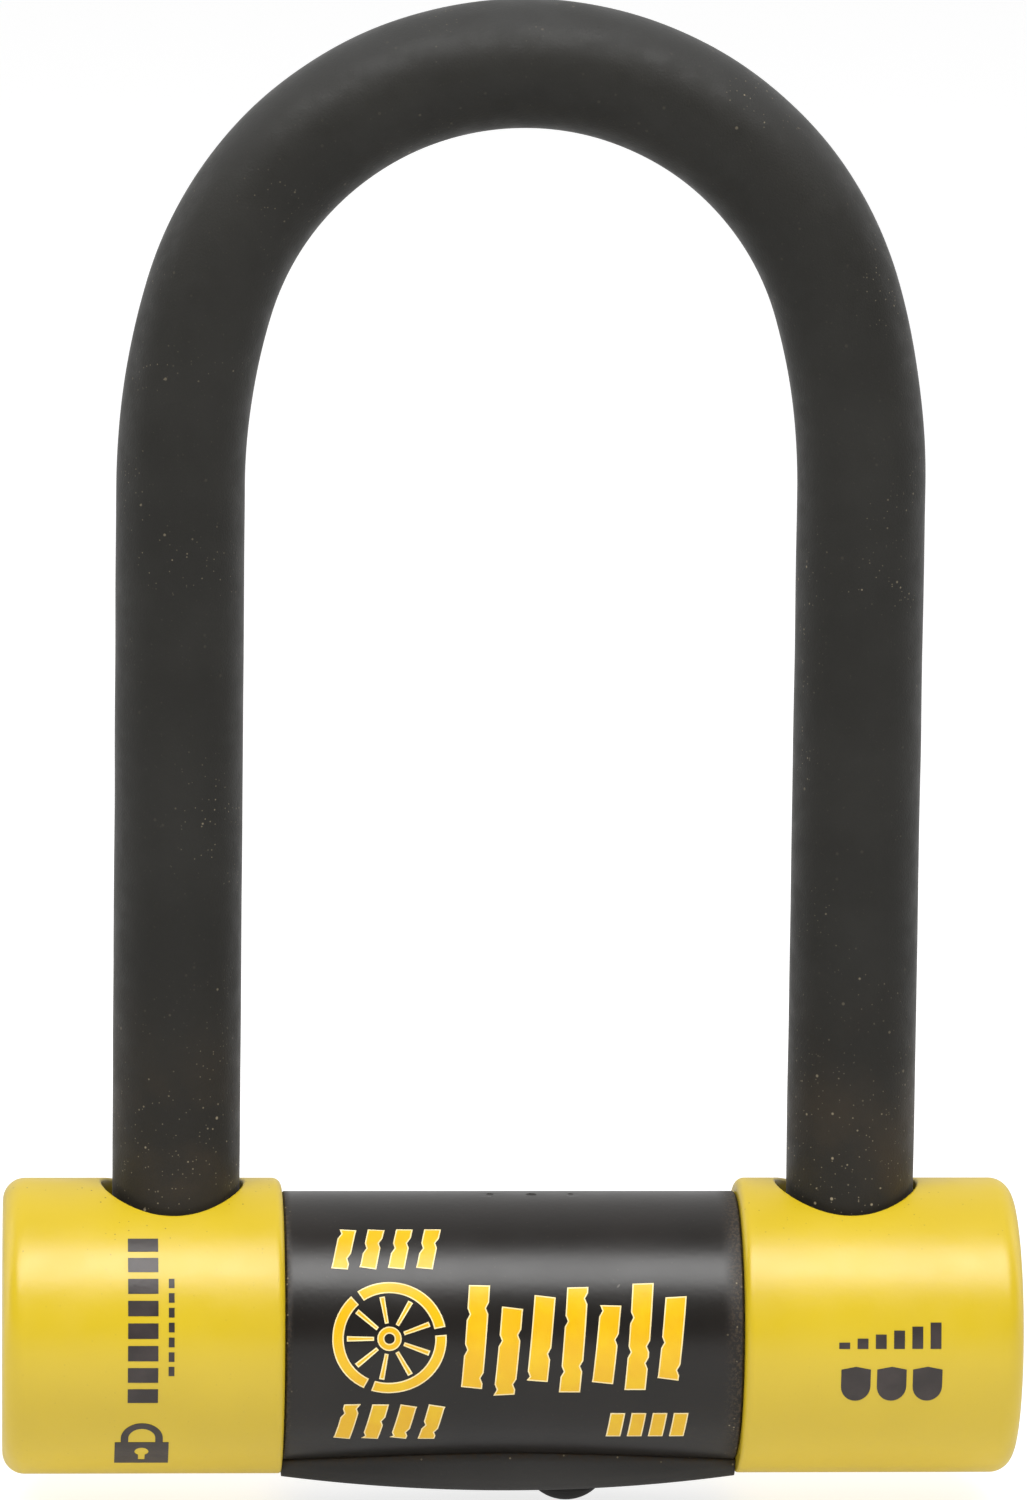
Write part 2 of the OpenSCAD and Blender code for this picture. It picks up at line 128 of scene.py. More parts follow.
# Dust cover's plate: middle, size, and lower face above the housing's underside
PLATE_X = 2.75 * MM
PLATE_SIZE = Vector((18.5, 11.6, 0.8)) * MM
PLATE_FLOOR = 1.5 * MM
# Ink: height over its surface, root below it, width of an edge of another colour, and mesh rows
INK_HEIGHT = 0.05 * MM
INK_ROOT = 0.03 * MM
INK_EDGE = 0.2 * MM
INK_ROW = 0.9 * MM


# ---- Mesh helpers ----

def solid(name, bm):
    """Turns a bmesh into an object."""
    bmesh.ops.recalc_face_normals(bm, faces=bm.faces)
    mesh = bpy.data.meshes.new(name)
    bm.to_mesh(mesh)
    bm.free()
    obj = bpy.data.objects.new(name, mesh)
    bpy.context.scene.collection.objects.link(obj)
    return obj


def smooth(obj, angle=35):
    """Shades an object smooth, but for edges sharper than an angle in degrees."""
    obj.data.shade_smooth()
    obj.data.set_sharp_from_angle(angle=math.radians(angle))


def new_object(name, bm, material, smooth_angle=35):
    """Turns a bmesh into a smooth object with a material."""
    obj = solid(name, bm)
    obj.data.materials.append(material)
    smooth(obj, smooth_angle)
    return obj


def add_ring(bm, points):
    """Adds points to a mesh, as the vertices of a ring."""
    return [bm.verts.new(p) for p in points]


def bridge(bm, ring_a, ring_b):
    """Joins two closed rings of the same length with quads."""
    count = len(ring_a)
    for i in range(count):
        j = (i + 1) % count
        bm.faces.new((ring_a[i], ring_a[j], ring_b[j], ring_b[i]))


def skin(bm, rings, closed=False):
    """Joins a row of rings; its ends are joined to each other, or closed with a face each."""
    for ring_a, ring_b in zip(rings, rings[1:]):
        bridge(bm, ring_a, ring_b)
    if closed:
        bridge(bm, rings[-1], rings[0])
    else:
        bm.faces.new(rings[0])
        bm.faces.new(rings[-1])


def lathe(section, segments, place, closed=True):
    """Turns a section of (along, radius) points round an axis; place maps them to space."""
    bm = bmesh.new()
    rings = []
    for along, radius in section:
        ring = []
        for i in range(segments):
            angle = 2 * math.pi * i / segments
            ring.append(place(along, radius, angle))
        rings.append(add_ring(bm, ring))
    skin(bm, rings, closed)
    return bm


def around_x(along, radius, angle):
    """A place round the crossbar's axis."""
    return Vector((along, radius * math.cos(angle), AXIS_Z + radius * math.sin(angle)))


def arc(centre, radius, start, end, steps):
    """Points of a 2D arc, with angles in degrees."""
    points = []
    for i in range(steps + 1):
        angle = math.radians(start + (end - start) * i / steps)
        points.append((centre[0] + radius * math.cos(angle), centre[1] + radius * math.sin(angle)))
    return points


def straight(start, end, step):
    """Points from start up to, but not with, end, about one step apart."""
    length = math.dist(start, end)
    count = max(1, round(length / step))
    return [tuple(a + (b - a) * i / count for a, b in zip(start, end)) for i in range(count)]


def cut(obj, cutter):
    """Takes the cutter away from the object and applies the result."""
    modifier = obj.modifiers.new("cut", "BOOLEAN")
    modifier.operation = "DIFFERENCE"
    modifier.solver = "EXACT"
    modifier.object = cutter
    graph = bpy.context.evaluated_depsgraph_get()
    result = bpy.data.meshes.new_from_object(obj.evaluated_get(graph), depsgraph=graph)
    obj.modifiers.clear()
    old = obj.data
    obj.data = result
    bpy.data.meshes.remove(old)
    bpy.data.objects.remove(cutter)


def upright(x, section):
    """Turns (height, radius) pairs round a vertical axis at x."""
    def place(along, radius, angle):
        return Vector((x + radius * math.cos(angle), radius * math.sin(angle), along))
    return lathe(section, 96, place, closed=False)


def box(size, middle_x, floor):
    """A box centred on the crossbar's middle plane, with its floor at a height."""
    bm = bmesh.new()
    bmesh.ops.create_cube(bm, size=1)
    for v in bm.verts:
        v.co = Vector((middle_x + v.co.x * size.x, v.co.y * size.y, floor + (v.co.z + 0.5) * size.z))
    return bm


# ---- Material helpers ----

def linear(r, g, b):
    """Linear colour from 0-255 screen values."""
    out = []
    for value in (r, g, b):
        c = value / 255
        out.append(c / 12.92 if c <= 0.04045 else ((c + 0.055) / 1.055) ** 2.4)
    return (*out, 1)


class Material:
    """A node material built up one node at a time."""

    def __init__(self, name):
        self.material = bpy.data.materials.new(name)
        self.material.use_nodes = True
        self.nodes = self.material.node_tree.nodes
        self.links = self.material.node_tree.links
        self.shader = self.nodes["Principled BSDF"]
        self.place = self.nodes.new("ShaderNodeTexCoord").outputs["Object"]

    def node(self, kind, **values):
        """A new node with some of its properties set."""
        made = self.nodes.new(kind)
        for key, value in values.items():
            setattr(made, key, value)
        return made

    def set(self, **values):
        """Sets constants on the shader; an underscore stands for a space in a socket's name."""
        for key, value in values.items():
            self.shader.inputs[key.replace("_", " ")].default_value = value

    def noise(self, scale, detail=2.0, roughness=0.5, stretch=None):
        """Noise at a number of grains per metre."""
        made = self.node("ShaderNodeTexNoise")
        made.inputs["Scale"].default_value = scale
        made.inputs["Detail"].default_value = detail
        made.inputs["Roughness"].default_value = roughness
        source = self.place
        if stretch:
            mapping = self.node("ShaderNodeMapping")
            mapping.inputs["Scale"].default_value = stretch
            self.links.new(source, mapping.inputs["Vector"])
            source = mapping.outputs["Vector"]
        self.links.new(source, made.inputs["Vector"])
        return made.outputs["Fac"]

    def cells(self, scale, stretch=(1, 1, 1), turn=0.0):
        """Distance to the nearest of scattered points; turn is about Y, in degrees."""
        made = self.node("ShaderNodeTexVoronoi")
        made.inputs["Scale"].default_value = scale
        turned = self.node("ShaderNodeMapping", vector_type="TEXTURE")
        turned.inputs["Rotation"].default_value = (0, math.radians(turn), 0)
        turned.inputs["Scale"].default_value = stretch
        self.links.new(self.place, turned.inputs["Vector"])
        self.links.new(turned.outputs["Vector"], made.inputs["Vector"])
        return made

    def specks(self, scale, rarity, size=0.19, stretch=(1, 1, 1), turn=0.0):
        """Scattered specks: 1 on a speck and 0 between; a higher rarity leaves fewer."""
        cells = self.cells(scale, stretch, turn)
        spot = self.ramp(cells.outputs["Distance"], size * 0.65, size * 1.35, 1.0, 0.0)
        pick = self.node("ShaderNodeSeparateColor")
        self.links.new(cells.outputs["Color"], pick.inputs["Color"])
        return self.math("MULTIPLY", spot, self.ramp(pick.outputs["Red"], rarity, rarity + 0.02))

    def ramp(self, value, low, high, out_low=0.0, out_high=1.0):
        """Eases from one output to another while the value goes from low to high."""
        made = self.node("ShaderNodeMapRange")
        made.interpolation_type = "SMOOTHSTEP"
        made.inputs["From Min"].default_value = low
        made.inputs["From Max"].default_value = high
        made.inputs["To Min"].default_value = out_low
        made.inputs["To Max"].default_value = out_high
        self.links.new(value, made.inputs["Value"])
        return made.outputs["Result"]

    def math(self, operation, a, b=None):
        """One sum on numbers or outputs of other nodes."""
        made = self.node("ShaderNodeMath", operation=operation)
        for socket, value in zip(made.inputs, (a, b)):
            if value is None:
                continue
            if isinstance(value, (int, float)):
                socket.default_value = value
            else:
                self.links.new(value, socket)
        return made.outputs["Value"]

    def axis(self, letter):
        """One coordinate of the place, in metres."""
        made = self.node("ShaderNodeSeparateXYZ")
        self.links.new(self.place, made.inputs["Vector"])
        return made.outputs[letter]

    def normal_axis(self, letter):
        """One axis of the surface's direction: 1 in Z faces up."""
        made = self.node("ShaderNodeSeparateXYZ")
        self.links.new(self.node("ShaderNodeNewGeometry").outputs["Normal"], made.inputs["Vector"])
        return made.outputs[letter]

    def mix(self, factor, a, b):
        """Goes from colour a to colour b as the factor goes from 0 to 1."""
        made = self.node("ShaderNodeMix", data_type="RGBA")
        for name, value in (("Factor", factor), ("A", a), ("B", b)):
            socket = [s for s in made.inputs if s.name == name and s.enabled][0]
            if isinstance(value, (tuple, float, int)):
                socket.default_value = value
            else:
                self.links.new(value, socket)
        return [s for s in made.outputs if s.enabled][0]

    def link(self, value, socket):
        """Links a value to one of the shader's sockets."""
        self.links.new(value, self.shader.inputs[socket])

    def bump(self, height, distance, after=None):
        """Relief of a depth in metres, on top of another relief if one is given."""
        made = self.node("ShaderNodeBump")
        made.inputs["Distance"].default_value = distance
        self.links.new(height, made.inputs["Height"])
        if after:
            self.links.new(after, made.inputs["Normal"])
        return made.outputs["Normal"]

    def mottle(self, scale, dark, light, detail=3):
        """Two colours in soft patches."""
        return self.mix(self.ramp(self.noise(scale, detail), 0.35, 0.7), dark, light)

    def uneven_roughness(self, scale, smoothest, roughest):
        """Roughness that wanders between two values."""
        self.link(self.ramp(self.noise(scale, 3), 0.3, 0.7, smoothest, roughest), "Roughness")

    def grain(self, scale, depth, detail=2):
        """Fine relief over the whole surface."""
        self.link(self.bump(self.noise(scale, detail), depth), "Normal")


# ---- Camera, light and floor ----

# Camera: place, yaw, pitch and roll in degrees, sensor size, focal length and upward shift
CAMERA_PLACE = Vector((-0.088, -1.5, AXIS_Z + 0.3414))
CAMERA_TURN = (3.34, 8.55, 0.68)
SENSOR_SIZE = 36
FOCAL_LENGTH = SENSOR_SIZE * 9754 / 1500
CAMERA_SHIFT = -0.1
# Area lights: name, place, target, width, height and power
LIGHTS = (
    ("key_light", (0.0, -0.71, 1.27), (0, 0, AXIS_Z), 2.4, 0.7, 36),
    ("left_light", (-1.5, 0.6, 0.5), (0, 0, 0.1), 0.7, 1.4, 5),
    ("right_light", (1.5, 0.6, 0.5), (0, 0, 0.1), 0.7, 1.4, 4),
)
# World: brightness in front of the object and behind it, and where the one goes over into the other
FRONT_LEVEL = 0.07
BACK_LEVEL = 0.72
LEVEL_START = -0.35
LEVEL_END = 0.6
# Floor: size, and glow as seen and as mirrored
FLOOR_R = 10
FLOOR_GLOW = 0.78
FLOOR_GLOSS = 0.26


def make_camera():
    """The viewing angle: a long lens from the front left, a little above."""
    yaw, pitch, roll = (math.radians(a) for a in CAMERA_TURN)
    ahead = Vector((math.sin(yaw) * math.cos(pitch), math.cos(yaw) * math.cos(pitch), -math.sin(pitch)))
    right = Vector((math.cos(yaw), -math.sin(yaw), 0))
    up = right.cross(ahead)
    turned_right = right * math.cos(roll) + up * math.sin(roll)
    turned_up = up * math.cos(roll) - right * math.sin(roll)
    data = bpy.data.cameras.new("camera")
    data.sensor_width = SENSOR_SIZE
    data.lens = FOCAL_LENGTH
    data.shift_y = CAMERA_SHIFT
    data.clip_end = 100
    camera = bpy.data.objects.new("camera", data)
    bpy.context.scene.collection.objects.link(camera)
    matrix = camera.matrix_world.to_3x3()
    for row in range(3):
        matrix[row] = (turned_right[row], turned_up[row], -ahead[row])
    camera.matrix_world = matrix.to_4x4()
    camera.location = CAMERA_PLACE
    bpy.context.scene.camera = camera


def area_light(name, place, target, width, height, power):
    """A rectangular light that faces its target."""
    data = bpy.data.lights.new(name, "AREA")
    data.shape = "RECTANGLE"
    data.size = width
    data.size_y = height
    data.energy = power
    light = bpy.data.objects.new(name, data)
    bpy.context.scene.collection.objects.link(light)
    light.location = place
    light.rotation_euler = (Vector(target) - Vector(place)).to_track_quat("-Z", "Y").to_euler()


def make_world():
    """Bright behind the object, dim in front, as in a studio with a lit backdrop."""
    world = bpy.data.worlds.new("studio")
    world.use_nodes = True
    nodes, links = world.node_tree.nodes, world.node_tree.links
    direction = nodes.new("ShaderNodeTexCoord").outputs["Generated"]
    split = nodes.new("ShaderNodeSeparateXYZ")
    links.new(direction, split.inputs["Vector"])
    level = nodes.new("ShaderNodeMapRange")
    level.interpolation_type = "SMOOTHSTEP"
    level.inputs["From Min"].default_value = LEVEL_START
    level.inputs["From Max"].default_value = LEVEL_END
    level.inputs["To Min"].default_value = FRONT_LEVEL
    level.inputs["To Max"].default_value = BACK_LEVEL
    links.new(split.outputs["Y"], level.inputs["Value"])
    background = nodes["Background"]
    background.inputs["Color"].default_value = (1, 1, 1, 1)
    links.new(level.outputs["Result"], background.inputs["Strength"])
    bpy.context.scene.world = world


def make_studio():
    """A softbox overhead in front, two side lights behind, and a pale glowing floor."""
    for light in LIGHTS:
        area_light(*light)
    make_world()
    bpy.context.scene.view_settings.view_transform = "Standard"
    bm = bmesh.new()
    bmesh.ops.create_circle(bm, cap_ends=True, segments=96, radius=FLOOR_R)
    paper = Material("floor_paper")
    paper.set(Base_Color=(0.4, 0.4, 0.4, 1), Roughness=0.8, Emission_Color=(1, 1, 1, 1))
    mirrored = paper.node("ShaderNodeLightPath").outputs["Is Glossy Ray"]
    paper.link(paper.ramp(mirrored, 0.0, 1.0, FLOOR_GLOW, FLOOR_GLOSS), "Emission Strength")
    floor = new_object("floor", bm, paper.material)


# ---- Materials ----

def vinyl():
    """Matte black sleeve: upper faces of the bow lightened with dust and painted top light, gritty near
    the crossbar.
    """
    m = Material("black_vinyl")
    m.set(Specular_IOR_Level=0.22, Sheen_Weight=0.1, Sheen_Roughness=0.35)
    base = m.mottle(60, linear(33, 32, 29), linear(38, 37, 34))
    # Painted top light: faces turned up are lightened, partly for dust and partly for light falling from
    # above
    upwards = m.ramp(m.normal_axis("Z"), 0.2, 0.95)
    lit_top_and_dust_mask = m.math("MULTIPLY", upwards, m.ramp(m.noise(150, 4, 0.6), 0.2, 0.8, 0.7, 1.0))
    dust_and_top_light = m.mix(lit_top_and_dust_mask, base, linear(57, 57, 56))
    low = m.ramp(m.axis("Z"), SLEEVE_END, SLEEVE_END + 45 * MM, 1.0, 0.0)
    haze = m.math("MULTIPLY", low, m.ramp(m.noise(90, 4), 0.35, 0.75, 0.1, 0.6))
    gritty = m.mix(haze, dust_and_top_light, linear(60, 50, 37))
    scatter = m.math("MAXIMUM", m.ramp(m.noise(45, 2), 0.5, 0.68, 0.05, 0.9), low)
    for scale, rarity, strength in ((1900, 0.82, 0.45), (1300, 0.93, 0.6), (800, 0.96, 0.85)):
        shown = m.math("MULTIPLY", m.specks(scale, rarity), m.math("MULTIPLY", scatter, strength))
        gritty = m.mix(shown, gritty, linear(158, 146, 122))
    m.link(gritty, "Base Color")
    m.uneven_roughness(300, 0.48, 0.62)
    fine = m.bump(m.noise(2600, 2), 0.04 * MM)
    m.link(m.bump(m.noise(120, 2), 0.12 * MM, after=fine), "Normal")
    return m.material


def cap_plastic():
    """Glossy moulded yellow plastic with a few brown grime specks, most of them on top."""
    m = Material("yellow_plastic")
    m.set(Specular_IOR_Level=0.7)
    tone = m.mix(m.ramp(m.noise(35, 2), 0.3, 0.7), linear(197, 169, 18), linear(203, 175, 24))
    top = m.ramp(m.axis("Z"), AXIS_Z + 12 * MM, AXIS_Z + 22 * MM, 0.12, 1.0)
    left = m.ramp(m.axis("X"), -50 * MM, -30 * MM, 1.0, 0.45)
    specks = m.math("MULTIPLY", m.specks(1400, 0.93), m.math("MULTIPLY", top, left))
    m.link(m.mix(specks, tone, linear(100, 74, 28)), "Base Color")
    m.uneven_roughness(200, 0.33, 0.4)
    m.grain(700, 0.02 * MM)
    return m.material


def barrel_plastic():
    """Satin black sleeve with brown grit where it meets the caps."""
    m = Material("satin_black")
    m.set(Specular_IOR_Level=0.48)
    base = m.mottle(50, linear(23, 20, 17), linear(28, 24, 21))
    side = m.axis("X")
    from_end = m.math("SUBTRACT", BARREL_HALF, m.math("ABSOLUTE", side))
    reach = m.ramp(side, -BARREL_HALF, BARREL_HALF, 1.4 * MM, 3.6 * MM)
    edge = m.ramp(m.math("DIVIDE", from_end, reach), 0.0, 1.0, 1.0, 0.0)
    grit = m.math("MULTIPLY", edge, m.ramp(m.noise(2200, 4, 0.7), 0.46, 0.6))
    soiled = m.mix(grit, base, linear(66, 54, 40))
    pale = m.math("MULTIPLY", m.specks(1300, 0.86), m.ramp(edge, 0.05, 0.4, 0.03, 0.8))
    worn = m.mix(pale, soiled, linear(150, 138, 112))
    for turn, shade in ((35, linear(96, 92, 86)), (-20, linear(9, 8, 8)), (70, linear(84, 80, 75))):
        marks = m.specks(230, 0.955, 0.035, (1, 1, 8), turn)
        worn = m.mix(m.math("MULTIPLY", marks, 0.8), worn, shade)
    m.link(worn, "Base Color")
    satin = m.ramp(m.noise(160, 3), 0.3, 0.7, 0.3, 0.335)
    m.link(m.math("ADD", satin, m.math("MULTIPLY", edge, 0.3)), "Roughness")
    m.grain(1100, 0.016 * MM)
    return m.material


def housing_plastic():
    """Dull black plastic with grit along its seam with the barrel."""
    m = Material("housing_black")
    m.set(Roughness=0.5, Specular_IOR_Level=0.45)
    base = m.mottle(50, linear(40, 38, 35), linear(46, 44, 41))
    y, z = m.axis("Y"), m.math("SUBTRACT", m.axis("Z"), AXIS_Z)
    reach = m.math("SQRT", m.math("ADD", m.math("MULTIPLY", y, y), m.math("MULTIPLY", z, z)))
    seam = m.ramp(reach, BARREL_R + 0.3 * MM, BARREL_R + 1.6 * MM, 1.0, 0.0)
    grit = m.math("MULTIPLY", seam, m.ramp(m.noise(1200, 4, 0.7), 0.4, 0.6, 0.2, 1.0))
    soiled = m.mix(grit, base, linear(52, 40, 24))
    pale = m.math("MULTIPLY", m.specks(1300, 0.9), m.ramp(seam, 0.05, 0.4, 0.02, 0.8))
    m.link(m.mix(pale, soiled, linear(146, 132, 104)), "Base Color")
    m.grain(1600, 0.04 * MM)
    return m.material


def shaded_cover_plastic():
    """Dull black plastic, darker than the housing as painted shade under the lock."""
    m = Material("cover_black_shaded")
    m.set(Roughness=0.55, Specular_IOR_Level=0.35)
    # Painted shade: a darker base than the housing's, for the shade under the lock
    m.link(m.mottle(80, linear(27, 25, 24), linear(33, 31, 30)), "Base Color")
    m.grain(1200, 0.03 * MM)
    return m.material


def metal(name, colour, roughness, stretch=(1, 1, 1)):
    """Bare metal with fine tool marks; stretch sets their run."""
    m = Material(name)
    m.set(Metallic=1.0)
    dark = (*(c * 0.78 for c in colour[:3]), 1)
    marks = m.noise(900, 3, 0.6, stretch)
    m.link(m.mix(m.ramp(marks, 0.3, 0.7), dark, colour), "Base Color")
    m.link(m.ramp(marks, 0.3, 0.7, roughness * 0.8, roughness * 1.25), "Roughness")
    m.link(m.bump(marks, 0.02 * MM), "Normal")
    return m.material


def blackened_steel():
    """Oxide-blacked steel of the shackle's bar."""
    m = Material("blackened_steel")
    m.set(Metallic=0.7, Specular_IOR_Level=0.5)
    m.link(m.mottle(140, linear(44, 42, 40), linear(66, 62, 57), detail=4), "Base Color")
    m.uneven_roughness(300, 0.42, 0.6)
    m.grain(1400, 0.03 * MM, detail=3)
    return m.material


def rubber():
    """Matte black rubber of the lock's seal."""
    m = Material("black_rubber")
    m.set(Roughness=0.7, Specular_IOR_Level=0.3)
    m.link(m.mix(m.noise(200, 2), linear(26, 26, 26), linear(38, 37, 36)), "Base Color")
    m.grain(1500, 0.03 * MM)
    return m.material


def ink(name, light, dark):
    """Screen-printed ink, a little uneven."""
    m = Material(name)
    m.set(Specular_IOR_Level=0.5)
    m.link(m.mottle(220, dark, light, detail=4), "Base Color")
    m.uneven_roughness(300, 0.3, 0.38)
    m.grain(1500, 0.02 * MM)
    return m.material


# ---- Shackle ----

def bow_path(step):
    """Centre line from the left foot over the bow to the right foot: x, z and outward angle."""
    flare = math.asin(FLARE_SIN)
    flare_r = BOW_R + (LEG_X - BOW_R) / (1 - math.cos(flare))
    bow_z = BOW_TOP - BOW_R
    flare_x = LEG_X - flare_r
    flare_z = bow_z - (flare_r - BOW_R) * FLARE_SIN
    half = []
    turns = max(2, round(BOW_R * (math.pi / 2 - flare) / step))
    for i in range(turns):
        angle = math.pi / 2 + (flare - math.pi / 2) * i / turns
        half.append((BOW_R * math.cos(angle), bow_z + BOW_R * math.sin(angle), angle))
    turns = max(2, round(flare_r * flare / step))
    for i in range(turns):
        angle = flare * (1 - i / turns)
        half.append((flare_x + flare_r * math.cos(angle), flare_z + flare_r * math.sin(angle), angle))
    turns = max(2, round((flare_z - SLEEVE_END) / step))
    for i in range(turns + 1):
        half.append((LEG_X, flare_z + (SLEEVE_END - flare_z) * i / turns, 0))
    left = [(-x, z, math.pi - angle) for x, z, angle in half[:0:-1]]
    return [(x + SHIFT, z, angle) for x, z, angle in left + half]


def sleeve_ring(bm, x, z, angle, radius, sink=0.0, swell=0.0):
    """A ring across the path, moved up by sink, with its radius uneven by up to swell."""
    segments = 72
    out = Vector((math.cos(angle), 0, math.sin(angle)))
    points = []
    for i in range(segments):
        turn = 2 * math.pi * i / segments
        aim = out * math.cos(turn) + Vector((0, math.sin(turn), 0))
        centre = Vector((x, 0, z + sink))
        bulge = swell * noise.noise((centre + aim * radius) * SWELL_WAVES)
        points.append(centre + aim * (radius + bulge))
    return add_ring(bm, points)


def lip_rings(bm, end, bore):
    """Rings round the rounded lip at an end of the sleeve, from outside to inside."""
    lip, steps = 0.7 * MM, 5
    rings = []
    for i in range(steps + 1):
        turn = math.pi / 2 * i / steps
        radius = SLEEVE_R - lip * (1 - math.cos(turn))
        rings.append(sleeve_ring(bm, *end, radius, lip * (1 - math.sin(turn))))
    return rings + [sleeve_ring(bm, *end, bore)]


def make_sleeve(material):
    """The vinyl sleeve: a closed tube along the bow with rounded lips."""
    bore = BAR_R + FIT
    path = bow_path(1.2 * MM)
    bm = bmesh.new()
    rings = [sleeve_ring(bm, *place, SLEEVE_R, swell=SWELL) for place in path[1:-1]]
    rings += lip_rings(bm, path[-1], bore)
    rings += [sleeve_ring(bm, *place, bore) for place in path[-2:0:-1][::4]]
    rings += lip_rings(bm, path[0], bore)[::-1]
    skin(bm, rings, closed=True)
    sleeve = new_object("sleeve", bm, material)
    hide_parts("shackle_sleeve")
    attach(sleeve, "shackle")


# ---- End caps ----

def hole_cutter(name, side):
    """A round cutter whose mouth flares, so that it leaves a rounded rim on the cap."""
    segments, steps = 128, 8
    below, above, overshoot = 20 * MM, 4 * MM, 1.5 * MM
    columns = []
    for i in range(segments):
        turn = 2 * math.pi * i / segments
        across = math.sin(turn)
        edge_z = math.sqrt(CAP_R ** 2 - (HOLE_R * across) ** 2)
        slope = HOLE_R * across ** 2 / edge_z
        inside = math.pi / 2 - math.atan(slope)
        rim_z = edge_z - HOLE_RIM / math.tan(inside / 2)
        column = [(HOLE_R, -below), (HOLE_R, rim_z)]
        sweep = (math.pi - inside) * 0.96
        for k in range(1, steps + 1):
            angle = sweep * k / steps
            column.append((HOLE_R + HOLE_RIM * (1 - math.cos(angle)), rim_z + HOLE_RIM * math.sin(angle)))
        last_r, last_z = column[-1]
        mouth_r = last_r + overshoot * math.sin(sweep)
        column += [(mouth_r, last_z + overshoot * math.cos(sweep)), (mouth_r, CAP_R + above)]
        columns.append([Vector((side * LEG_X + r * math.cos(turn), r * math.sin(turn), AXIS_Z + z))
                        for r, z in column])
    bm = bmesh.new()
    skin(bm, [add_ring(bm, ring) for ring in zip(*columns)])
    return solid(name, bm)


def make_cap(name, side, material):
    """A moulded cap: rounded at both ends, closed at the outer one."""
    inner_round, outer_round = 1.5 * MM, 3.5 * MM
    bore = TUBE_R + FIT
    floor_x = TUBE_HALF + 0.1 * MM
    core_r = 1 * MM
    row = 1.5 * MM
    section = [(CAP_IN, BARREL_R - 0.5 * MM)]
    section += arc((CAP_IN + inner_round, CAP_R - inner_round), inner_round, 180, 90, 8)
    section += straight((CAP_IN + inner_round, CAP_R), (CAP_OUT - outer_round, CAP_R), row)[1:]
    section += arc((CAP_OUT - outer_round, CAP_R - outer_round), outer_round, 90, 0, 12)
    section += [(CAP_OUT, CAP_R * 0.5), (CAP_OUT, core_r)]
    section += [(floor_x, core_r), (floor_x, bore), (CAP_IN, bore)]

    def trimmed(along, radius, angle):
        """Tightens the inner rounding underneath, where the housing meets the cap."""
        sink = CAP_R - radius
        if abs(along) < CAP_IN + inner_round + CLOSE and sink < inner_round + CLOSE:
            size = 0.3 + 0.7 * min(1, max(0, (math.sin(angle) + 0.9) / 0.5))
            along = side * (CAP_IN + (abs(along) - CAP_IN) * size)
            radius = CAP_R - sink * size
        return around_x(along, radius, angle)

    def core_ring(x):
        """The mesh's points round its axis at a distance x."""
        return [v for v in bm.verts if abs(abs(v.co.x) - x) < CLOSE
                and math.hypot(v.co.y, v.co.z - AXIS_Z) < core_r * 1.1]

    bm = lathe([(side * a, r) for a, r in section], 192, trimmed)
    outer_core, inner_core = core_ring(CAP_OUT), core_ring(floor_x)
    wall = [f for f in bm.faces if all(v in outer_core or v in inner_core for v in f.verts)]
    bmesh.ops.delete(bm, geom=wall, context="FACES_ONLY")
    bm.faces.new(outer_core)
    bm.faces.new(inner_core)
    cap = new_object(name, bm, material)
    cut(cap, hole_cutter(name + "_hole", side))
    smooth(cap)
    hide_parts(name.replace("cap_shell", "end_cap"))
    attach(cap, "crossbar")


# ---- Barrel and housing ----

def make_barrel(material):
    """The barrel sleeve, with chamfered ends and a few chips on top."""
    chamfer = 0.3 * MM
    inner = TUBE_R + FIT
    flat = BARREL_HALF - chamfer
    section = [(-BARREL_HALF, inner), (-BARREL_HALF, BARREL_R - chamfer), (-flat, BARREL_R)]
    section += straight((-flat, BARREL_R), (flat, BARREL_R), 3 * MM)[1:]
    section += [(flat, BARREL_R), (BARREL_HALF, BARREL_R - chamfer), (BARREL_HALF, inner)]
    barrel = new_object("barrel", lathe(section, 192, around_x), material)
    for x, length, depth in CHIPS:
        chip = bmesh.new()
        bmesh.ops.create_icosphere(chip, subdivisions=2, radius=1)
        for v in chip.verts:
            v.co = Vector((x + v.co.x * length / 2, v.co.y * 1.1 - 0.6, v.co.z * depth)) * MM
            v.co.z += AXIS_Z + BARREL_R
        cut(barrel, solid("chip", chip))
    smooth(barrel)
    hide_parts("barrel_sleeve")
    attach(barrel, "crossbar")


def half_width(x):
    """Half width of the lens-shaped housing at a place along the crossbar."""
    return math.sqrt(HOUSING_SIDE_R ** 2 - x ** 2) - (HOUSING_SIDE_R - HOUSING_W)


def barrel_under(y):
    """Height of the barrel's underside at a distance from its middle plane."""
    return AXIS_Z - math.sqrt(BARREL_R ** 2 - y ** 2)


def housing_section(x):
    """Outline of the housing across the crossbar, as (y, z) points."""
    w = half_width(x)
    low = HOUSING_LOW + HOUSING_BELLY_R - math.sqrt(HOUSING_BELLY_R ** 2 - x ** 2)
    seam = barrel_under(w)
    wall_top = seam - SEAM_R
    side = [(w - SEAM_R, seam + 0.05 * MM), (w - SEAM_R * 0.3, seam - SEAM_R * 0.3), (w, wall_top)]
    side += [(w, wall_top - (wall_top - low - HOUSING_EDGE_R) * k / 3) for k in (1, 2)]
    side += arc((w - HOUSING_EDGE_R, low + HOUSING_EDGE_R), HOUSING_EDGE_R, 0, -90, 9)
    floor = [((w - HOUSING_EDGE_R) * (1 - k / 6), low) for k in range(1, 12)]
    inner = w - SEAM_R
    across = [inner * (k / 8 - 1) for k in range(1, 16)]
    top = [(y, barrel_under(y) + 0.02 * MM) for y in across]
    return side + floor + [(-y, z) for y, z in reversed(side)] + top


